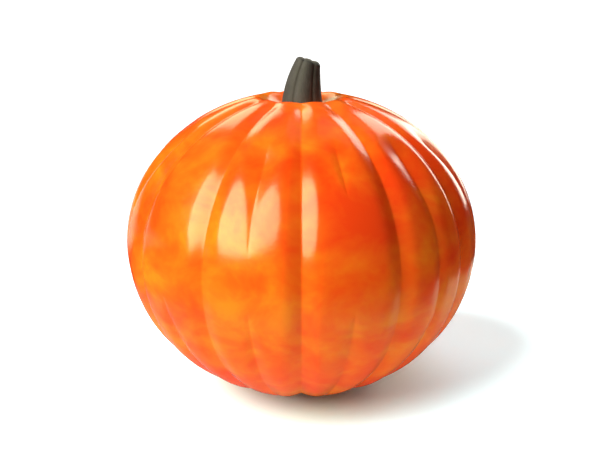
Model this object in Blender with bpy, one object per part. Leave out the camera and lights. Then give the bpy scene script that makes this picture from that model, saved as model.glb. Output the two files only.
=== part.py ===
"""A ribbed field pumpkin standing on its blossom end, with its cut stem.

Metres, +Z up. The origin is the centre of the flat spot that the pumpkin
rests on. A main groove faces -Y, and the stem leans towards +X.
Run with: blender --background --python part.py
"""
import math

import bmesh
import bpy
from mathutils import Vector

# Driving dimensions of the fruit, in metres.
PROFILE_RADIUS = 0.1434      # at the waist, before the grooves are pressed in
WAIST_HEIGHT = 0.124         # widest level above the resting plane
SHOULDER_RISE = 0.1223       # waist to the top of the smooth profile
REST_RADIUS = 0.035          # outer edge of the flat spot it rests on
RIM_RADIUS = 0.036           # lip of the hollow around the stem
HOLLOW_DEPTH = 0.0095        # lip to the seat of the stem
SEAT_RADIUS = 0.0182         # level seat under the stem
SCAR_RADIUS = 0.0045         # blossom scar in the middle of the underside
SCAR_HEIGHT = 0.0008
RECESS_RADIUS = 0.015        # shallow recess around the blossom scar
RECESS_DEPTH = 0.0028
UPPER_FULLNESS = 2.03        # exponent of the profile: 2 is an ellipse, more is squarer
LOWER_FULLNESS = 2.0
FOOT_BLEND = 0.030           # the grooves grow from nothing over this much radius
LIP_BLEND = 0.012            # and die away over this much at the lip of the hollow
LIP_SHARE = 0.4              # of their depth that is left on the lip
NOTCH_REACH = 0.5            # share of the hollow's slope that the grooves' notches run down
LIP_DROP = 0.05              # how far into its fall the hollow's slope starts, at the lip

# Grooves: deep ones part the ribs, and softer ones run midway between them.
RIB_COUNT = 12
RIB_PITCH = 2.0 * math.pi / RIB_COUNT
DEEP_GROOVE_SLOPE = math.radians(20.0)
DEEP_GROOVE_HALF = 0.0104    # half width at the waist
DEEP_GROOVE_TAPER = 0.3      # 0 keeps its width, 1 narrows it with the radius
SOFT_GROOVE_SLOPE = math.radians(16.0)
SOFT_GROOVE_HALF = 0.0115
CREASE_ROUNDING = 0.0006     # at the bottom of a groove
RIDGE_ROUNDING = 0.0014      # where a groove's wall meets the rib

# Where soft grooves run, by latitude in degrees: 0 at the waist, 90 at the top.
SOFT_GROOVE_GROWTH = 26.0    # climb over which the upper part reaches its full width
SOFT_GROOVE_MOST = 1.25      # widest it gets, as a share of SOFT_GROOVE_HALF
SOFT_GROOVE_TOP = (42.0, 55.0)
SOFT_GROOVE_WAIST = (-30.0, -8.0, 16.0, 40.0)
SOFT_GROOVE_WAIST_SHARE = 0.6
SOFT_GROOVE_LOW = (-64.0, -45.0, -22.0, -4.0)
SOFT_GROOVE_LOW_SHARE = 0.8
# One pair for each soft groove, from the front towards +X: the latitude where its upper part
# runs out, and how strongly it carries on across the waist.
SOFT_GROOVES = (
    (32.0, 0.0),
    (5.0, 0.9),
    (10.0, 0.6),
    (25.0, 0.2),
    (8.0, 0.5),
    (30.0, 0.0),
    (15.0, 0.4),
    (35.0, 0.0),
    (12.0, 0.7),
    (5.0, 0.7),
    (50.0, 0.0),
    (13.0, 0.0),
)

# Driving dimensions of the stem, in metres.
STEM_GAP = 0.0003            # between the seat and the foot of the stem
STEM_OFFSET = 0.0005         # foot's centre, towards +X
STEM_LENGTH = 0.0382         # along its bent centre line
STEM_FOOT_RADIUS = 0.0169
STEM_NECK_RADIUS = 0.0107    # just under the cut end
STEM_TAPER_POWER = 1.5       # above 1, it stays thick at the foot and narrows higher up
STEM_BEND = math.radians(16.5)
STEM_EDGE = 0.0034           # rounding of the cut end's edge
STEM_DISH = 0.0008           # the cut end has dried slightly hollow
STEM_RIB_COUNT = 6
STEM_RIB_TURN = math.radians(2.0)
STEM_GROOVE_DEPTH = 0.0014
STEM_NOTCH = 0.0011          # how far the grooves cut down into the cut end's edge
STEM_GROOVE_SPREAD = math.radians(9.0)

# Mesh resolution.
FRUIT_COLUMNS = 120          # a multiple of 2 * RIB_COUNT puts edges in the grooves
BODY_ROWS = 27
HOLLOW_ROWS = 5
STEM_COLUMNS = 48
STEM_ROWS = 11
EDGE_ROWS = 3
SHARP_ANGLE = math.radians(50.0)

FRUIT_COLOUR = (0.90, 0.17, 0.012, 1.0)
FRUIT_ROUGHNESS = 0.22
STEM_COLOUR = (0.055, 0.052, 0.040, 1.0)
STEM_ROUGHNESS = 0.7


def smoothstep(value):
    """Ease from 0 to 1 as value goes from 0 to 1."""
    value = min(max(value, 0.0), 1.0)
    return value * value * (3.0 - 2.0 * value)


def clear_scene():
    for old in list(bpy.data.objects):
        bpy.data.objects.remove(old, do_unlink=True)


def make_material(name, colour, roughness):
    material = bpy.data.materials.new(name)
    material.use_nodes = True
    shader = material.node_tree.nodes["Principled BSDF"]
    shader.inputs["Base Color"].default_value = colour
    shader.inputs["Roughness"].default_value = roughness
    return material


def distance_to_groove(azimuth, pitch, first):
    """Angle from azimuth to the nearest of the grooves spaced by pitch."""
    return abs((azimuth - first + pitch / 2.0) % pitch - pitch / 2.0)


def window(value, edges):
    """Rise from 0 to 1 between the first two edges, and fall again between the last two."""
    start, full, fade, end = edges
    rise = smoothstep((value - start) / (full - start))
    return rise * (1.0 - smoothstep((value - fade) / (end - fade)))


def flank_height(latitude):
    """Height of the smooth flank at a latitude.

    The lower curve is cut off by the resting plane where its radius is REST_RADIUS.
    """
    if latitude < 0.0:
        fullness = LOWER_FULLNESS
        cut_off = 1.0 - (REST_RADIUS / PROFILE_RADIUS) ** fullness
        reach = -WAIST_HEIGHT / cut_off ** (1.0 / fullness)
    else:
        fullness = UPPER_FULLNESS
        reach = SHOULDER_RISE
    return WAIST_HEIGHT + reach * (1.0 - math.cos(latitude) ** fullness) ** (1.0 / fullness)


def lip_height():
    """Height of the flank where the hollow around the stem starts."""
    return flank_height(math.acos(RIM_RADIUS / PROFILE_RADIUS))


def seat_height():
    return lip_height() - HOLLOW_DEPTH


def underside_stations():
    """Blossom scar, recess and flat spot: (radius, height, latitude, groove share)."""
    lowest = -math.acos(REST_RADIUS / PROFILE_RADIUS)
    stations = []
    for radius in (0.0, 0.6 * SCAR_RADIUS, SCAR_RADIUS, 1.3 * SCAR_RADIUS, 0.75 * RECESS_RADIUS):
        recess = RECESS_DEPTH * (1.0 - smoothstep(radius / RECESS_RADIUS))
        scar = SCAR_HEIGHT if radius <= SCAR_RADIUS else 0.0
        stations.append((radius, recess - scar, lowest, 0.0))
    for radius in (RECESS_RADIUS, 0.5 * (RECESS_RADIUS + REST_RADIUS), REST_RADIUS):
        stations.append((radius, 0.0, lowest, 0.0))
    return stations


def body_stations():
    """The big rounded flank, from the edge of the flat spot up to the lip."""
    lowest = -math.acos(REST_RADIUS / PROFILE_RADIUS)
    highest = math.acos(RIM_RADIUS / PROFILE_RADIUS)
    stations = []
    for row in range(1, BODY_ROWS + 1):
        latitude = lowest + (highest - lowest) * row / BODY_ROWS
        radius = PROFILE_RADIUS * math.cos(latitude)
        if latitude < 0.0:
            share = smoothstep((radius - REST_RADIUS) / FOOT_BLEND)
        else:
            share = LIP_SHARE + (1.0 - LIP_SHARE) * smoothstep((radius - RIM_RADIUS) / LIP_BLEND)
        stations.append((radius, flank_height(latitude), latitude, share))
    return stations


def hollow_stations():
    """The funnel around the stem, from inside the lip down to the level seat."""
    highest = math.acos(RIM_RADIUS / PROFILE_RADIUS)
    stations = []
    for row in range(1, HOLLOW_ROWS + 1):
        step = row / HOLLOW_ROWS
        radius = RIM_RADIUS + (SEAT_RADIUS - RIM_RADIUS) * step
        height = lip_height() - HOLLOW_DEPTH * smoothstep(LIP_DROP + (1.0 - LIP_DROP) * step)
        stations.append((radius, height, highest, LIP_SHARE * (1.0 - smoothstep(step / NOTCH_REACH))))
    stations.append((0.5 * SEAT_RADIUS, seat_height(), highest, 0.0))
    stations.append((0.0, seat_height(), highest, 0.0))
    return stations


def flank_normal(latitude):
    """Outward normal of the smooth flank as (out, up)."""
    step = 0.002
    along_out = PROFILE_RADIUS * (math.cos(latitude + step) - math.cos(latitude - step))
    along_up = flank_height(latitude + step) - flank_height(latitude - step)
    length = math.hypot(along_out, along_up)
    return along_up / length, -along_out / length


def furrow(distance, half, slope):
    """Depth of a V-shaped furrow with a barely rounded bottom and rounded shoulders."""
    if half <= 0.0:
        return 0.0
    softened = math.hypot(distance, CREASE_ROUNDING) - CREASE_ROUNDING
    shoulder = min(RIDGE_ROUNDING, 0.3 * half)
    return math.tan(slope) * shoulder * math.log1p(math.exp((half - softened) / shoulder))


def soft_groove_half(degrees, rib):
    """Half width of the soft groove on a rib at a latitude."""
    tip, waist_strength = SOFT_GROOVES[rib]
    above = min(max((degrees - tip) / SOFT_GROOVE_GROWTH, 0.0), SOFT_GROOVE_MOST)
    across = SOFT_GROOVE_WAIST_SHARE * waist_strength * window(degrees, SOFT_GROOVE_WAIST)
    below = SOFT_GROOVE_LOW_SHARE * window(degrees, SOFT_GROOVE_LOW)
    return SOFT_GROOVE_HALF * max(above, across, below)


def groove_depth(radius, latitude, azimuth):
    """Depth pressed in along the normal at full share."""
    deep_half = DEEP_GROOVE_HALF * (radius / PROFILE_RADIUS) ** DEEP_GROOVE_TAPER
    deep = furrow(radius * distance_to_groove(azimuth, RIB_PITCH, 0.0), deep_half, DEEP_GROOVE_SLOPE)
    degrees = math.degrees(latitude)
    rib = int(azimuth // RIB_PITCH) % RIB_COUNT
    soft = furrow(radius * distance_to_groove(azimuth, RIB_PITCH, RIB_PITCH / 2.0),
                  soft_groove_half(degrees, rib), SOFT_GROOVE_SLOPE)
    top_start, top_end = SOFT_GROOVE_TOP
    return deep + soft * (1.0 - smoothstep((degrees - top_start) / (top_end - top_start)))


def fruit_point(station, azimuth):
    """Point on the rind. Azimuth 0 faces -Y and grows towards +X."""
    radius, height, latitude, share = station
    if share > 0.0:
        depth = share * groove_depth(radius, latitude, azimuth)
        out, up = flank_normal(latitude)
        radius -= depth * out
        height = max(height - depth * up, 0.0)
    return Vector((radius * math.sin(azimuth), -radius * math.cos(azimuth), height))


def stem_stations():
    """(radius, distance along the centre line, groove share, notch share) from the foot up."""
    stations = [(0.0, 0.0, 0.0, 0.0), (0.5 * STEM_FOOT_RADIUS, 0.0, 0.5, 0.0)]
    side_length = STEM_LENGTH - STEM_EDGE
    for row in range(STEM_ROWS + 1):
        step = row / STEM_ROWS
        radius = STEM_FOOT_RADIUS + (STEM_NECK_RADIUS - STEM_FOOT_RADIUS) * step ** STEM_TAPER_POWER
        stations.append((radius, side_length * step, 1.0, 0.0))
    for row in range(1, EDGE_ROWS + 1):
        turn = 0.5 * math.pi * row / EDGE_ROWS
        radius = STEM_NECK_RADIUS - STEM_EDGE * (1.0 - math.cos(turn))
        stations.append((radius, side_length + STEM_EDGE * math.sin(turn), 1.0, math.sin(turn)))
    for portion, dish in ((0.5, 0.8), (0.0, 1.0)):
        radius = portion * (STEM_NECK_RADIUS - STEM_EDGE)
        stations.append((radius, STEM_LENGTH - dish * STEM_DISH, portion, portion))
    return stations


def stem_axis(distance):
    """Centre and tilt of the bent centre line at a distance from the foot."""
    steps = 40
    x = STEM_OFFSET
    z = seat_height() + STEM_GAP
    for step in range(steps):
        middle = (step + 0.5) / steps * distance
        tilt = STEM_BEND * middle / STEM_LENGTH
        x += distance / steps * math.sin(tilt)
        z += distance / steps * math.cos(tilt)
    return x, z, STEM_BEND * distance / STEM_LENGTH


def stem_point(station, azimuth):
    """Point on the stem: a six-ribbed section carried along the centre line."""
    radius, distance, share, notch = station
    pitch = 2.0 * math.pi / STEM_RIB_COUNT
    away = distance_to_groove(azimuth, pitch, STEM_RIB_TURN + pitch / 2.0)
    groove = math.exp(-away / STEM_GROOVE_SPREAD)
    radius -= share * STEM_GROOVE_DEPTH * groove
    distance -= notch * STEM_NOTCH * groove
    across = radius * math.sin(azimuth)
    centre_x, centre_z, tilt = stem_axis(distance)
    return Vector((centre_x + across * math.cos(tilt),
                   -radius * math.cos(azimuth),
                   centre_z - across * math.sin(tilt)))


def shaped_sphere(name, stations, columns, point_on_surface, material):
    """A UV sphere whose rows are moved to the stations, from its lowest row up."""
    rows = len(stations) - 1
    shape = bmesh.new()
    bmesh.ops.create_uvsphere(shape, u_segments=columns, v_segments=rows, radius=1.0)
    for vertex in shape.verts:
        latitude = math.asin(min(max(vertex.co.z, -1.0), 1.0))
        row = round((latitude / math.pi + 0.5) * rows)
        column = round(math.atan2(vertex.co.x, -vertex.co.y) / (2.0 * math.pi) * columns)
        azimuth = 2.0 * math.pi * column / columns
        vertex.co = point_on_surface(stations[row], azimuth)
    bmesh.ops.recalc_face_normals(shape, faces=shape.faces)
    mesh = bpy.data.meshes.new(name)
    shape.to_mesh(mesh)
    shape.free()
    mesh.shade_smooth()
    mesh.set_sharp_from_angle(angle=SHARP_ANGLE)
    mesh.materials.append(material)
    return bpy.data.objects.new(name, mesh)


def make_fruit():
    """The whole fruit is one solid, because it grew as one piece."""
    stations = underside_stations() + body_stations() + hollow_stations()
    material = make_material("rind", FRUIT_COLOUR, FRUIT_ROUGHNESS)
    return shaped_sphere("fruit", stations, FRUIT_COLUMNS, fruit_point, material)


def make_stem():
    """The woody stalk, seated in the hollow at the top of the fruit."""
    material = make_material("stalk", STEM_COLOUR, STEM_ROUGHNESS)
    return shaped_sphere("stem", stem_stations(), STEM_COLUMNS, stem_point, material)


def main():
    clear_scene()
    collection = bpy.data.collections.new("pumpkin")
    bpy.context.scene.collection.children.link(collection)
    for piece in (make_fruit(), make_stem()):
        collection.objects.link(piece)


main()
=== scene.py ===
"""A glossy, mottled, ribbed pumpkin with a cut stalk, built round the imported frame.

Metres, +Z up, origin in the middle of the flat spot that the fruit rests on.
The fine rind and stalk repeat the frame's own profiles with more detail.
"""

import math

import bmesh
import bpy
import numpy as np
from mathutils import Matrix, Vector


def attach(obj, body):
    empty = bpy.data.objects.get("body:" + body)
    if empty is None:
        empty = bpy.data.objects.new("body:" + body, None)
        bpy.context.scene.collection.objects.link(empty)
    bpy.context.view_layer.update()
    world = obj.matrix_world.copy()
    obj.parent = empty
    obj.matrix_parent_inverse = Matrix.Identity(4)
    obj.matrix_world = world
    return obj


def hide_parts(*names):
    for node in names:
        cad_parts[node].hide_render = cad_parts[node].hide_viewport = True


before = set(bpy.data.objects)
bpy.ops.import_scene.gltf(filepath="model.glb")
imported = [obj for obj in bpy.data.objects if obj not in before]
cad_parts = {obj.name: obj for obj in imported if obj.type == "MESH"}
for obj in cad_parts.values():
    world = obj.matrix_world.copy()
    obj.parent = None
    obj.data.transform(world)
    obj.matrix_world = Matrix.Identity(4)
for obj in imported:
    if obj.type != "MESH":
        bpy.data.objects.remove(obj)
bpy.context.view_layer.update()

# Fruit, in metres: the same driving dimensions as the frame's fruit.
PROFILE_RADIUS = 0.1434
WAIST_HEIGHT = 0.124
SHOULDER_RISE = 0.1223
REST_RADIUS = 0.035
RIM_RADIUS = 0.036
HOLLOW_DEPTH = 0.0095
SEAT_RADIUS = 0.0182
SCAR_RADIUS = 0.0045
SCAR_HEIGHT = 0.0008
SCAR_EDGE_START = 0.8            # in shares of the scar's radius
SCAR_EDGE_STEEPNESS = 3.0
RECESS_RADIUS = 0.015
RECESS_DEPTH = 0.0028
UPPER_FULLNESS = 2.03            # exponent of the profile: 2 is an ellipse, more is squarer
LOWER_FULLNESS = 2.0
FOOT_BLEND = 0.030               # the grooves grow from nothing over this much radius
LIP_BLEND = 0.012                # and die away over this much at the lip of the hollow
LIP_SHARE = 0.4                  # of their depth that is left on the lip
NOTCH_REACH = 0.5                # share of the hollow's slope that the grooves' notches run down
LIP_DROP = 0.05                  # how far into its fall the hollow's slope starts, at the lip
LOWEST_LATITUDE = -math.acos(REST_RADIUS / PROFILE_RADIUS)
HIGHEST_LATITUDE = math.acos(RIM_RADIUS / PROFILE_RADIUS)

# Grooves: deep ones part the ribs, and softer ones run midway between them.
RIB_COUNT = 12
RIB_PITCH = 2.0 * math.pi / RIB_COUNT
DEEP_GROOVE_SLOPE = math.radians(20.0)
DEEP_GROOVE_HALF = 0.0104        # half width at the waist
DEEP_GROOVE_TAPER = 0.3          # 0 keeps its width, 1 narrows it with the radius
SOFT_GROOVE_SLOPE = math.radians(16.0)
SOFT_GROOVE_HALF = 0.0115
CREASE_ROUNDING = 0.0006
RIDGE_ROUNDING = 0.0014
RIDGE_SHARE = 0.3                # the most of a narrow furrow's half width that its edge takes
NARROWEST_HALF = 1e-6
# Where soft grooves run, by latitude in degrees: 0 at the waist, 90 at the top.
SOFT_GROOVE_GROWTH = 26.0
SOFT_GROOVE_MOST = 1.25
SOFT_GROOVE_TOP = (42.0, 55.0)
SOFT_GROOVE_WAIST = (-30.0, -8.0, 16.0, 40.0)
SOFT_GROOVE_WAIST_SHARE = 0.6
SOFT_GROOVE_LOW = (-64.0, -45.0, -22.0, -4.0)
SOFT_GROOVE_LOW_SHARE = 0.8
# One pair for each soft groove, from the front towards +X: the latitude where its upper part
# runs out, and how strongly it carries on across the waist.
SOFT_GROOVES = (
    (32.0, 0.0),
    (5.0, 0.9),
    (10.0, 0.6),
    (25.0, 0.2),
    (8.0, 0.5),
    (30.0, 0.0),
    (15.0, 0.4),
    (35.0, 0.0),
    (12.0, 0.7),
    (5.0, 0.7),
    (50.0, 0.0),
    (13.0, 0.0),
)

# Stalk, in metres: the same driving dimensions as the frame's stem.
STEM_GAP = 0.0003
STEM_OFFSET = 0.0005
STEM_LENGTH = 0.0382
STEM_FOOT_RADIUS = 0.0169
STEM_NECK_RADIUS = 0.0107
STEM_TAPER_POWER = 1.5
STEM_BEND = math.radians(16.5)
STEM_EDGE = 0.0034
STEM_DISH = 0.0008
STEM_RIB_COUNT = 6
STEM_RIB_PITCH = 2.0 * math.pi / STEM_RIB_COUNT
STEM_RIB_TURN = math.radians(2.0)
STEM_GROOVE_DEPTH = 0.0014
STEM_NOTCH = 0.0011
STEM_GROOVE_SPREAD = math.radians(9.0)

# Mesh resolution.
COLUMNS_PER_RIB = 36
CROWDING = 0.75                  # 0 spaces a rib's columns evenly, 1 crowds them fully
UNDERSIDE_ROWS = 24
FLANK_ROWS = 150
HOLLOW_ROWS = 26
SEAT_STEPS = (0.8, 0.5, 0.25, 0.0)
NORMAL_STEP = 0.002              # latitude step for the flank's slope
STALK_COLUMNS = 192
STALK_SIDE_ROWS = 70
STALK_EDGE_ROWS = 8
STALK_CUT_ROWS = 10
STALK_AXIS_SAMPLES = 400

# Rind. Noise scales are per metre; colours are linear red, green, blue and alpha. A pair is
# where something begins and where it is full.
NOISE_SPAN = (0.3, 0.7)          # the noise values that set the roughness
MOTTLE_FLATTENING = 1.25         # the patches are this much wider than they are tall
CLOUD_SCALE = 26.0
CLOUD_SLICE = 38.33              # which slice of the noise shows
CLOUD_SHARE = 0.85
DRIFT_SCALE = 9.0
DRIFT_SLICE = 6.14
DRIFT_SHARE = 0.5
SIDE_TREND = -0.37               # per metre: the rind is redder towards +X
MOTTLE_COLOURS = (
    (0.49, (0.88, 0.055, 0.0035, 1.0)),
    (0.58, (0.90, 0.083, 0.0045, 1.0)),
    (0.67, (0.92, 0.121, 0.0055, 1.0)),
    (0.765, (0.93, 0.172, 0.0068, 1.0)),
    (0.84, (0.94, 0.225, 0.0080, 1.0)),
)
# Marks round the core: radii, heights, strength and colour of the pale patch underneath, the
# blossom scar and the corky collar at the stalk's foot.
RIND_MARKS = (
    ((0.055, 0.020), (0.012, 0.0), 0.45, (0.92, 0.34, 0.045, 1.0)),
    ((1.5 * SCAR_RADIUS, 0.9 * SCAR_RADIUS), (0.006, 0.001), 1.0, (0.17, 0.085, 0.035, 1.0)),
    ((SEAT_RADIUS + 0.0025, SEAT_RADIUS - 0.0005), (0.20, 0.22), 0.55, (0.30, 0.14, 0.035, 1.0)),
)
PORE_SCALE = 420.0
RIND_ROUGHNESS = (0.15, 0.19)
RIND_IOR = 1.37

# Stalk, dry and fibrous.
FIBRE_SCALE = 900.0
FIBRE_STRETCH = 0.12             # the fibres' scale along the stalk, as a share of that across
FIBRE_SHARE = 0.6
PATCH_SCALE = 90.0
PATCH_SHARE = 0.4
STALK_COLOURS = (
    (0.30, (0.026, 0.024, 0.020, 1.0)),
    (0.52, (0.048, 0.044, 0.038, 1.0)),
    (0.70, (0.078, 0.071, 0.062, 1.0)),
)
# Painted shade: a colour that darkens the stalk's grooves, most where they are deepest.
CREASE_SHADE_SPAN = (0.45, 1.0)
CREASE_SHADE_STRENGTH = (0.0, 0.6)
CREASE_SHADE_COLOUR = (0.022, 0.018, 0.014, 1.0)
CUT_SPAN = (0.75, 1.0)
GRAIN_SCALE = 700.0
CUT_COLOURS = (
    (0.35, (0.055, 0.048, 0.036, 1.0)),
    (0.65, (0.105, 0.090, 0.065, 1.0)),
)
STALK_ROUGHNESS = (0.62, 0.82)
STALK_SPECULAR = 0.3
BUMP_DEPTH = 0.0006              # for the rind's pores and the stalk's fibres
PORE_BUMP = 0.08
FIBRE_BUMP = 0.35

# Camera: distance and elevation are taken from the middle of the waist.
CAMERA_DISTANCE = 0.700
CAMERA_ELEVATION = math.radians(17.2)
CAMERA_AIM_UP = math.radians(0.84)   # above the line to the waist's middle
CAMERA_SIDE = -0.0011                # along X
CAMERA_LENS = 50.0
CAMERA_SENSOR = 36.0

# The floor throws light up from a round white patch under the fruit.
FLOOR_REACH = 30.0
THROWN_EDGE = (0.35, 0.55)
THROWN_NEAR = (0.92, 0.92, 0.92, 1.0)
THROWN_FAR = (0.05, 0.05, 0.05, 1.0)
# The rind mirrors grey near the fruit, cream on its right side, where the near zone also
# reaches further out, nearly black beyond that, and a pale sheet at the back left.
MIRRORED_EDGE = (0.25, 0.32)
MIRRORED_NEAR = (0.30, 0.30, 0.30, 1.0)
MIRRORED_FAR = (0.02, 0.02, 0.02, 1.0)
RIGHT_SIDE_X = (0.08, 0.20)
RIGHT_SIDE_Y = (-0.12, 0.0)
RIGHT_SIDE_REACH = 0.10
RIGHT_SIDE_COLOUR = (0.85, 0.80, 0.60, 1.0)
LEFT_BACK_X = (0.05, -0.10)
LEFT_BACK_Y = (0.28, 0.42)
LEFT_BACK_COLOUR = (0.60, 0.57, 0.45, 1.0)
# The camera sees a floor that is white far away, and cooler where the fruit throws its orange
# light on it. Values above 1 thin out the fruit's shadow. The stops are distances from the
# middle, in shares of FLOOR_TINT_REACH.
FLOOR_TINT_REACH = 0.4
FLOOR_SEEN = (
    (0.14, (0.68, 1.06, 0.95, 1.0)),
    (0.22, (0.90, 1.33, 1.25, 1.0)),
    (0.27, (1.05, 1.56, 1.55, 1.0)),
    (0.35, (1.27, 1.80, 1.86, 1.0)),
    (0.50, (1.50, 1.88, 1.90, 1.0)),
    (0.65, (1.60, 1.90, 1.92, 1.0)),
    (1.00, (1.00, 1.00, 1.00, 1.0)),
)

# The world gives almost no light of its own, and the camera sees it white.
WORLD_LIGHT = (0.01, 0.01, 0.01, 1.0)
WORLD_SEEN = (1.0, 1.0, 1.0, 1.0)

# Lamps stand round the waist's middle. A sun is its name, azimuth, elevation and spread in
# degrees, and strength; a softbox is its name, azimuth, elevation, width and height in
# degrees, radiance, colour and shape.
LAMP_DISTANCE = 2.0
CREAM = (1.0, 0.97, 0.60)
PALE = (1.0, 0.95, 0.78)
SUNS = (
    ("key", -64.0, 38.0, 50.0, 5.6),
    ("fill", 50.0, 20.0, 90.0, 0.5),
    ("back_right", 148.0, 15.0, 35.0, 1.8),
    ("back_top", -175.0, 48.0, 60.0, 0.9),
)
SOFTBOXES = (
    ("softbox_left", -45.0, 35.0, 54.0, 55.0, 14.0, CREAM, "ELLIPSE"),
    ("softbox_back_right", 147.0, 21.0, 23.0, 50.0, 5.2, PALE, "RECTANGLE"),
    ("softbox_back_top", 150.0, 64.0, 22.0, 20.0, 0.5, PALE, "RECTANGLE"),
    ("softbox_back_left", -158.0, 37.0, 18.0, 26.0, 4.4, CREAM, "RECTANGLE"),
)


# ---------------------------------------------------------------- geometry

def smoothstep(value):
    """Ease from 0 to 1 as value goes from 0 to 1."""
    value = np.clip(value, 0.0, 1.0)
    return value * value * (3.0 - 2.0 * value)


def distance_to_groove(azimuth, pitch, first):
    """Angle from azimuth to the nearest of the grooves spaced by pitch."""
    return np.abs((azimuth - first + pitch / 2.0) % pitch - pitch / 2.0)


def furrow(distance, half, slope):
    """Depth of a V-shaped furrow with a barely rounded bottom and rounded shoulders."""
    softened = np.hypot(distance, CREASE_ROUNDING) - CREASE_ROUNDING
    shoulder = np.minimum(RIDGE_ROUNDING, RIDGE_SHARE * np.maximum(half, NARROWEST_HALF))
    return math.tan(slope) * shoulder * np.logaddexp(0.0, (half - softened) / shoulder)


def remapped_sphere(name, columns, rows, surface):
    """A UV sphere whose vertices are moved to where surface(row, column) puts them.

    surface also gives the marks, values by name that the materials read at each vertex.
    """
    shape = bmesh.new()
    bmesh.ops.create_uvsphere(shape, u_segments=columns, v_segments=rows, radius=1.0)
    mesh = bpy.data.meshes.new(name)
    shape.to_mesh(mesh)
    shape.free()
    points = np.empty(len(mesh.vertices) * 3)
    mesh.vertices.foreach_get("co", points)
    points = points.reshape(-1, 3)
    latitude = np.arcsin(np.clip(points[:, 2], -1.0, 1.0))
    row = np.rint((latitude / math.pi + 0.5) * rows).astype(int)
    around = np.arctan2(points[:, 0], -points[:, 1]) / (2.0 * math.pi)
    column = np.rint(around * columns)
    positions, marks = surface(row, column)
    mesh.vertices.foreach_set("co", positions.ravel())
    for label, values in marks.items():
        attribute = mesh.attributes.new(label, "FLOAT", "POINT")
        attribute.data.foreach_set("value", values.astype(np.float32))
    mesh.update()
    mesh.shade_smooth()
    piece = bpy.data.objects.new(name, mesh)
    bpy.context.scene.collection.objects.link(piece)
    return piece


def flank_height(latitude):
    """Height of the smooth flank at a latitude, which is 0 at the waist."""
    if latitude < 0.0:
        fullness = LOWER_FULLNESS
        cut_off = 1.0 - (REST_RADIUS / PROFILE_RADIUS) ** fullness
        reach = -WAIST_HEIGHT / cut_off ** (1.0 / fullness)
    else:
        fullness = UPPER_FULLNESS
        reach = SHOULDER_RISE
    return WAIST_HEIGHT + reach * (1.0 - math.cos(latitude) ** fullness) ** (1.0 / fullness)


def seat_height():
    """Height of the hollow's bottom, where the stalk stands."""
    return flank_height(HIGHEST_LATITUDE) - HOLLOW_DEPTH


def fruit_stations():
    """Rows from the blossom end up: radius, height, latitude, groove share."""
    rows = []
    for row in range(UNDERSIDE_ROWS):
        radius = REST_RADIUS * row / UNDERSIDE_ROWS
        recess = RECESS_DEPTH * (1.0 - smoothstep(radius / RECESS_RADIUS))
        edge = smoothstep(SCAR_EDGE_STEEPNESS * (radius / SCAR_RADIUS - SCAR_EDGE_START))
        rows.append((radius, recess - SCAR_HEIGHT * (1.0 - edge), LOWEST_LATITUDE, 0.0))
    for row in range(FLANK_ROWS + 1):
        latitude = LOWEST_LATITUDE + (HIGHEST_LATITUDE - LOWEST_LATITUDE) * row / FLANK_ROWS
        radius = PROFILE_RADIUS * math.cos(latitude)
        if latitude < 0.0:
            share = smoothstep((radius - REST_RADIUS) / FOOT_BLEND)
        else:
            share = LIP_SHARE + (1.0 - LIP_SHARE) * smoothstep((radius - RIM_RADIUS) / LIP_BLEND)
        rows.append((radius, flank_height(latitude), latitude, share))
    for row in range(1, HOLLOW_ROWS + 1):
        step = row / HOLLOW_ROWS
        radius = RIM_RADIUS + (SEAT_RADIUS - RIM_RADIUS) * step
        fall = HOLLOW_DEPTH * smoothstep(LIP_DROP + (1.0 - LIP_DROP) * step)
        share = LIP_SHARE * (1.0 - smoothstep(step / NOTCH_REACH))
        rows.append((radius, flank_height(HIGHEST_LATITUDE) - fall, HIGHEST_LATITUDE, share))
    for portion in SEAT_STEPS:
        rows.append((portion * SEAT_RADIUS, seat_height(), HIGHEST_LATITUDE, 0.0))
    return np.array(rows)


def flank_normals(latitudes):
    """Outward normals (out, up) of the smooth flank."""
    higher = latitudes + NORMAL_STEP
    lower = latitudes - NORMAL_STEP
    along_out = PROFILE_RADIUS * (np.cos(higher) - np.cos(lower))
    above = np.array([flank_height(latitude) for latitude in higher])
    below = np.array([flank_height(latitude) for latitude in lower])
    length = np.hypot(along_out, above - below)
    return (above - below) / length, -along_out / length


def window(value, edges):
    """Rise from 0 to 1 between the first two edges, and fall again between the last two."""
    start, full, fade, end = edges
    rise = smoothstep((value - start) / (full - start))
    return rise * (1.0 - smoothstep((value - fade) / (end - fade)))


def soft_groove_half(degrees, rib):
    """Half width of the soft groove on a rib at a latitude."""
    tip, waist_strength = np.array(SOFT_GROOVES)[rib].T
    above = np.clip((degrees - tip) / SOFT_GROOVE_GROWTH, 0.0, SOFT_GROOVE_MOST)
    across = SOFT_GROOVE_WAIST_SHARE * waist_strength * window(degrees, SOFT_GROOVE_WAIST)
    below = SOFT_GROOVE_LOW_SHARE * window(degrees, SOFT_GROOVE_LOW)
    return SOFT_GROOVE_HALF * np.maximum(above, np.maximum(across, below))


def crowd_columns(column):
    """Azimuth of a column: columns crowd together where the creases run."""
    turn = column / COLUMNS_PER_RIB
    return RIB_PITCH * (turn - CROWDING * np.sin(4.0 * math.pi * turn) / (4.0 * math.pi))


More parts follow.
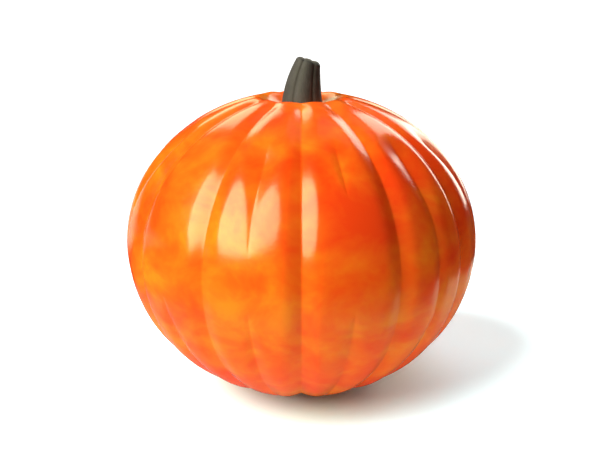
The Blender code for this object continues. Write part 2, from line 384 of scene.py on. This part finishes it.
def fruit_surface(row, column):
    """Places of the rind's vertices: the smooth profile with its furrows pressed in."""
    radii, heights, latitudes, shares = fruit_stations().T
    outs, ups = flank_normals(latitudes)
    radius, height, share = radii[row], heights[row], shares[row]
    degrees = np.degrees(latitudes[row])
    azimuth = crowd_columns(column)
    deep_half = DEEP_GROOVE_HALF * (radius / PROFILE_RADIUS) ** DEEP_GROOVE_TAPER
    deep = furrow(radius * distance_to_groove(azimuth, RIB_PITCH, 0.0),
                  deep_half, DEEP_GROOVE_SLOPE)
    rib = np.floor(azimuth / RIB_PITCH).astype(int) % RIB_COUNT
    soft = furrow(radius * distance_to_groove(azimuth, RIB_PITCH, RIB_PITCH / 2.0),
                  soft_groove_half(degrees, rib), SOFT_GROOVE_SLOPE)
    top_start, top_end = SOFT_GROOVE_TOP
    soft = soft * (1.0 - smoothstep((degrees - top_start) / (top_end - top_start)))
    depth = share * (deep + soft)
    radius = radius - depth * outs[row]
    height = np.where(share > 0.0, np.maximum(height - depth * ups[row], 0.0), height)
    positions = np.stack([radius * np.sin(azimuth), -radius * np.cos(azimuth), height], axis=1)
    return positions, {}


def stalk_stations():
    """Rows from the foot up: radius, distance along the stalk, groove share, notch share, cut end."""
    side_length = STEM_LENGTH - STEM_EDGE
    # The flat foot: its middle, and a ring halfway out.
    rows = [(0.0, 0.0, 0.0, 0.0, 0.0), (0.5 * STEM_FOOT_RADIUS, 0.0, 0.5, 0.0, 0.0)]
    for row in range(STALK_SIDE_ROWS + 1):
        step = row / STALK_SIDE_ROWS
        radius = STEM_FOOT_RADIUS + (STEM_NECK_RADIUS - STEM_FOOT_RADIUS) * step ** STEM_TAPER_POWER
        rows.append((radius, side_length * step, 1.0, 0.0, 0.0))
    for row in range(1, STALK_EDGE_ROWS + 1):
        turn = 0.5 * math.pi * row / STALK_EDGE_ROWS
        radius = STEM_NECK_RADIUS - STEM_EDGE * (1.0 - math.cos(turn))
        rise = math.sin(turn)
        rows.append((radius, side_length + STEM_EDGE * rise, 1.0, rise, row / STALK_EDGE_ROWS))
    for row in range(1, STALK_CUT_ROWS + 1):
        portion = 1.0 - row / STALK_CUT_ROWS
        radius = portion * (STEM_NECK_RADIUS - STEM_EDGE)
        dish = STEM_DISH * float(smoothstep(1.0 - portion))
        rows.append((radius, STEM_LENGTH - dish, portion, portion, 1.0))
    return np.array(rows)


def stalk_axis(distance):
    """Centre and tilt of the bent centre line at distances from the foot."""
    samples = np.linspace(0.0, STEM_LENGTH, STALK_AXIS_SAMPLES)
    tilt = STEM_BEND * samples / STEM_LENGTH
    stride = samples[1] - samples[0]
    x = STEM_OFFSET + np.cumsum(np.sin(tilt)) * stride
    z = seat_height() + STEM_GAP + np.cumsum(np.cos(tilt)) * stride - stride
    return (np.interp(distance, samples, x), np.interp(distance, samples, z),
            np.interp(distance, samples, tilt))


def stalk_surface(row, column):
    """Places of the stalk's vertices, marked with how deep in a groove or in the cut they are."""
    radius, distance, share, notch, cut = stalk_stations()[row].T
    azimuth = 2.0 * math.pi * column / STALK_COLUMNS
    turn = distance_to_groove(azimuth, STEM_RIB_PITCH, STEM_RIB_TURN + STEM_RIB_PITCH / 2.0)
    groove = np.exp(-turn / STEM_GROOVE_SPREAD)
    radius = radius - share * STEM_GROOVE_DEPTH * groove
    distance = distance - notch * STEM_NOTCH * groove
    across = radius * np.sin(azimuth)
    centre_x, centre_z, tilt = stalk_axis(distance)
    positions = np.stack([centre_x + across * np.cos(tilt),
                          -radius * np.cos(azimuth),
                          centre_z - across * np.sin(tilt)], axis=1)
    return positions, {"groove": groove * share, "cut": cut}


# --------------------------------------------------------------- materials

class Nodes:
    """Short calls for laying out a node tree."""

    def __init__(self, tree):
        self.tree = tree

    def add(self, kind, settings=None, inputs=None):
        node = self.tree.nodes.new(kind)
        for label, value in (settings or {}).items():
            setattr(node, label, value)
        for label, value in (inputs or {}).items():
            if isinstance(value, bpy.types.NodeSocket):
                self.tree.links.new(value, node.inputs[label])
            else:
                node.inputs[label].default_value = value
        return node

    def link(self, output, socket):
        self.tree.links.new(output, socket)

    def place(self):
        """Object coordinates: metres, in the frame."""
        return self.add("ShaderNodeTexCoord").outputs["Object"]

    def split(self, vector):
        node = self.add("ShaderNodeSeparateXYZ", None, {0: vector})
        return node.outputs["X"], node.outputs["Y"], node.outputs["Z"]

    def length(self, vector):
        node = self.add("ShaderNodeVectorMath", {"operation": "LENGTH"}, {0: vector})
        return node.outputs["Value"]

    def stretch(self, vector, upward):
        """Scale a vector's Z, which makes a pattern tighter or looser upwards."""
        node = self.add("ShaderNodeMapping", None, {"Vector": vector, "Scale": (1.0, 1.0, upward)})
        return node.outputs[0]

    def noise(self, vector, scale, detail, **more):
        """Noise from about 0 to 1; giving W makes it one slice of the 4D noise."""
        dimensions = "4D" if "W" in more else "3D"
        node = self.add("ShaderNodeTexNoise", {"noise_dimensions": dimensions},
                        {"Vector": vector, "Scale": scale, "Detail": detail, **more})
        return node.outputs[0]

    def mark(self, name):
        """A value that the mesh holds at each vertex."""
        return self.add("ShaderNodeAttribute", {"attribute_name": name}).outputs["Fac"]

    def bump(self, height, strength):
        node = self.add("ShaderNodeBump", None,
                        {"Strength": strength, "Distance": BUMP_DEPTH, "Height": height})
        return node.outputs[0]

    def math(self, operation, first, second):
        node = self.add("ShaderNodeMath", {"operation": operation}, {0: first, 1: second})
        return node.outputs[0]

    def mix(self, factor, first, second):
        """The first colour where factor is 0, the second where it is 1.

        A Mix node's colours are its inputs 6 and 7 and its output 2.
        """
        node = self.add("ShaderNodeMix", {"data_type": "RGBA"}, {0: factor, 6: first, 7: second})
        return node.outputs[2]

    def ramp(self, factor, stops):
        """Colour by factor, straight between stops of position and colour."""
        node = self.add("ShaderNodeValToRGB", None, {0: factor})
        ramp = node.color_ramp
        ramp.interpolation = "LINEAR"
        while len(ramp.elements) < len(stops):
            ramp.elements.new(0.5)
        for element, (position, colour) in zip(ramp.elements, stops):
            element.position = position
            element.color = colour
        return node.outputs[0]

    def range(self, value, low, high, out_low=0.0, out_high=1.0):
        """Ease from out_low to out_high as value goes from low to high."""
        node = self.add("ShaderNodeMapRange", {"interpolation_type": "SMOOTHSTEP"},
                        {0: value, 1: low, 2: high, 3: out_low, 4: out_high})
        return node.outputs[0]


def new_material(name):
    material = bpy.data.materials.new(name)
    material.use_nodes = True
    return material, Nodes(material.node_tree), material.node_tree.nodes["Principled BSDF"]


def rind_material():
    """Glossy wax over a rind mottled from red-orange to yellow-orange, with fine pores."""
    material, nodes, shader = new_material("rind")
    place = nodes.place()
    across, back, height = nodes.split(place)

    stretched = nodes.stretch(place, MOTTLE_FLATTENING)
    clouds = nodes.noise(stretched, CLOUD_SCALE, detail=4.0,
                         W=CLOUD_SLICE, Roughness=0.55, Distortion=0.4)
    drift = nodes.noise(stretched, DRIFT_SCALE, detail=2.0, W=DRIFT_SLICE)
    blend = nodes.math("ADD", nodes.math("MULTIPLY", clouds, CLOUD_SHARE),
                       nodes.math("MULTIPLY", drift, DRIFT_SHARE))
    blend = nodes.math("ADD", blend, nodes.math("MULTIPLY", across, SIDE_TREND))
    colour = nodes.ramp(blend, MOTTLE_COLOURS)

    radius = nodes.length(nodes.add("ShaderNodeCombineXYZ", None, {0: across, 1: back}).outputs[0])
    for radii, heights, strength, shade in RIND_MARKS:
        zone = nodes.math("MULTIPLY", nodes.range(radius, *radii), nodes.range(height, *heights))
        colour = nodes.mix(nodes.math("MULTIPLY", zone, strength), colour, shade)
    nodes.link(colour, shader.inputs["Base Color"])

    pores = nodes.noise(place, PORE_SCALE, detail=2.0)
    nodes.link(nodes.range(pores, *NOISE_SPAN, *RIND_ROUGHNESS), shader.inputs["Roughness"])
    nodes.link(nodes.bump(pores, PORE_BUMP), shader.inputs["Normal"])
    shader.inputs["IOR"].default_value = RIND_IOR
    return material


def stalk_material():
    """Dry matte fibres with painted shade darkening the grooves, and a paler grain on the cut end."""
    material, nodes, shader = new_material("stalk")
    place = nodes.place()

    fibres = nodes.noise(nodes.stretch(place, FIBRE_STRETCH), FIBRE_SCALE, detail=4.0, Roughness=0.6)
    patches = nodes.noise(place, PATCH_SCALE, detail=3.0)
    tone = nodes.math("ADD", nodes.math("MULTIPLY", fibres, FIBRE_SHARE),
                      nodes.math("MULTIPLY", patches, PATCH_SHARE))
    colour = nodes.ramp(tone, STALK_COLOURS)
    # Painted shade in the stalk's grooves, by how deep in a groove each point is.
    crease_shade = nodes.range(nodes.mark("groove"), *CREASE_SHADE_SPAN, *CREASE_SHADE_STRENGTH)
    colour = nodes.mix(crease_shade, colour, CREASE_SHADE_COLOUR)
    face = nodes.ramp(nodes.noise(place, GRAIN_SCALE, detail=3.0), CUT_COLOURS)
    colour = nodes.mix(nodes.range(nodes.mark("cut"), *CUT_SPAN), colour, face)
    nodes.link(colour, shader.inputs["Base Color"])

    nodes.link(nodes.range(fibres, *NOISE_SPAN, *STALK_ROUGHNESS), shader.inputs["Roughness"])
    nodes.link(nodes.bump(fibres, FIBRE_BUMP), shader.inputs["Normal"])
    shader.inputs["Specular IOR Level"].default_value = STALK_SPECULAR
    return material


def floor_material():
    """A floor that throws, mirrors and shows different colours, as the constants say."""
    material = bpy.data.materials.new("floor_white")
    material.use_nodes = True
    material.node_tree.nodes.clear()
    nodes = Nodes(material.node_tree)
    place = nodes.place()
    away = nodes.length(place)
    across, back, _ = nodes.split(place)

    thrown = nodes.mix(nodes.range(away, *THROWN_EDGE), THROWN_NEAR, THROWN_FAR)

    right_side = nodes.math("MULTIPLY", nodes.range(across, *RIGHT_SIDE_X),
                            nodes.range(back, *RIGHT_SIDE_Y))
    left_back = nodes.math("MULTIPLY", nodes.range(back, *LEFT_BACK_Y),
                           nodes.range(across, *LEFT_BACK_X))
    reach = nodes.math("SUBTRACT", away, nodes.math("MULTIPLY", right_side, RIGHT_SIDE_REACH))
    mirrored = nodes.mix(right_side, MIRRORED_NEAR, RIGHT_SIDE_COLOUR)
    mirrored = nodes.mix(nodes.range(reach, *MIRRORED_EDGE), mirrored, MIRRORED_FAR)
    mirrored = nodes.mix(left_back, mirrored, LEFT_BACK_COLOUR)

    shown = nodes.ramp(nodes.math("DIVIDE", away, FLOOR_TINT_REACH), FLOOR_SEEN)

    path = nodes.add("ShaderNodeLightPath")
    colour = nodes.mix(path.outputs["Is Glossy Ray"], thrown, mirrored)
    colour = nodes.mix(path.outputs["Is Camera Ray"], colour, shown)
    surface = nodes.add("ShaderNodeBsdfDiffuse", None, {"Color": colour})
    nodes.add("ShaderNodeOutputMaterial", None, {"Surface": surface.outputs[0]})
    return material


# ------------------------------------------------------------------ pieces

def make_fruit():
    stations = len(fruit_stations()) - 1
    fruit = remapped_sphere("pumpkin_rind", RIB_COUNT * COLUMNS_PER_RIB, stations, fruit_surface)
    fruit.data.materials.append(rind_material())
    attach(fruit, "root")
    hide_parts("fruit")


def make_stalk():
    stations = len(stalk_stations()) - 1
    stalk = remapped_sphere("pumpkin_stalk", STALK_COLUMNS, stations, stalk_surface)
    stalk.data.materials.append(stalk_material())
    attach(stalk, "root")
    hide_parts("stem")


# ------------------------------------------------------------------- stage

def make_camera():
    camera = bpy.data.objects.new("camera", bpy.data.cameras.new("camera"))
    camera.data.lens = CAMERA_LENS
    camera.data.sensor_width = CAMERA_SENSOR
    camera.location = (CAMERA_SIDE,
                       -CAMERA_DISTANCE * math.cos(CAMERA_ELEVATION),
                       WAIST_HEIGHT + CAMERA_DISTANCE * math.sin(CAMERA_ELEVATION))
    camera.rotation_euler = (math.pi / 2.0 - CAMERA_ELEVATION + CAMERA_AIM_UP, 0.0, 0.0)
    bpy.context.scene.collection.objects.link(camera)
    bpy.context.scene.camera = camera


def make_floor():
    mesh = bpy.data.meshes.new("floor")
    shape = bmesh.new()
    bmesh.ops.create_grid(shape, x_segments=1, y_segments=1, size=FLOOR_REACH)
    shape.to_mesh(mesh)
    shape.free()
    mesh.materials.append(floor_material())
    floor = bpy.data.objects.new("floor", mesh)
    bpy.context.scene.collection.objects.link(floor)


def place_lamp(name, light, azimuth, elevation):
    """Put a light round the waist's middle, azimuth 0 at -Y and growing towards +X, facing it."""
    lamp = bpy.data.objects.new(name, light)
    azimuth = math.radians(azimuth)
    elevation = math.radians(elevation)
    direction = Vector((math.sin(azimuth) * math.cos(elevation),
                        -math.cos(azimuth) * math.cos(elevation),
                        math.sin(elevation)))
    lamp.location = Vector((0.0, 0.0, WAIST_HEIGHT)) + LAMP_DISTANCE * direction
    lamp.rotation_euler = direction.to_track_quat("Z", "Y").to_euler()
    bpy.context.scene.collection.objects.link(lamp)
    return lamp


def make_softbox(name, azimuth, elevation, width, height, radiance, colour, shape):
    """A panel that the rind mirrors, and that gives no diffuse light."""
    light = bpy.data.lights.new(name, "AREA")
    light.shape = shape
    light.size = 2.0 * LAMP_DISTANCE * math.tan(math.radians(width) / 2.0)
    light.size_y = 2.0 * LAMP_DISTANCE * math.tan(math.radians(height) / 2.0)
    area = light.size * light.size_y * (math.pi / 4.0 if shape == "ELLIPSE" else 1.0)
    light.energy = radiance * math.pi * area
    light.color = colour
    place_lamp(name, light, azimuth, elevation).visible_diffuse = False


def make_sun(name, azimuth, elevation, spread, strength):
    """A soft light on the fruit and the floor, which the rind doesn't mirror."""
    light = bpy.data.lights.new(name, "SUN")
    light.angle = math.radians(spread)
    light.energy = strength
    place_lamp(name, light, azimuth, elevation).visible_glossy = False


def make_lights():
    for values in SUNS:
        make_sun(*values)
    for values in SOFTBOXES:
        make_softbox(*values)


def make_world():
    world = bpy.data.worlds.new("studio")
    world.use_nodes = True
    nodes = Nodes(world.node_tree)
    seen = nodes.add("ShaderNodeLightPath").outputs["Is Camera Ray"]
    colour = nodes.mix(seen, WORLD_LIGHT, WORLD_SEEN)
    nodes.link(colour, world.node_tree.nodes["Background"].inputs["Color"])
    bpy.context.scene.world = world


make_camera()
make_fruit()
make_stalk()
make_floor()
make_world()
make_lights()
bpy.context.scene.view_settings.view_transform = "Standard"
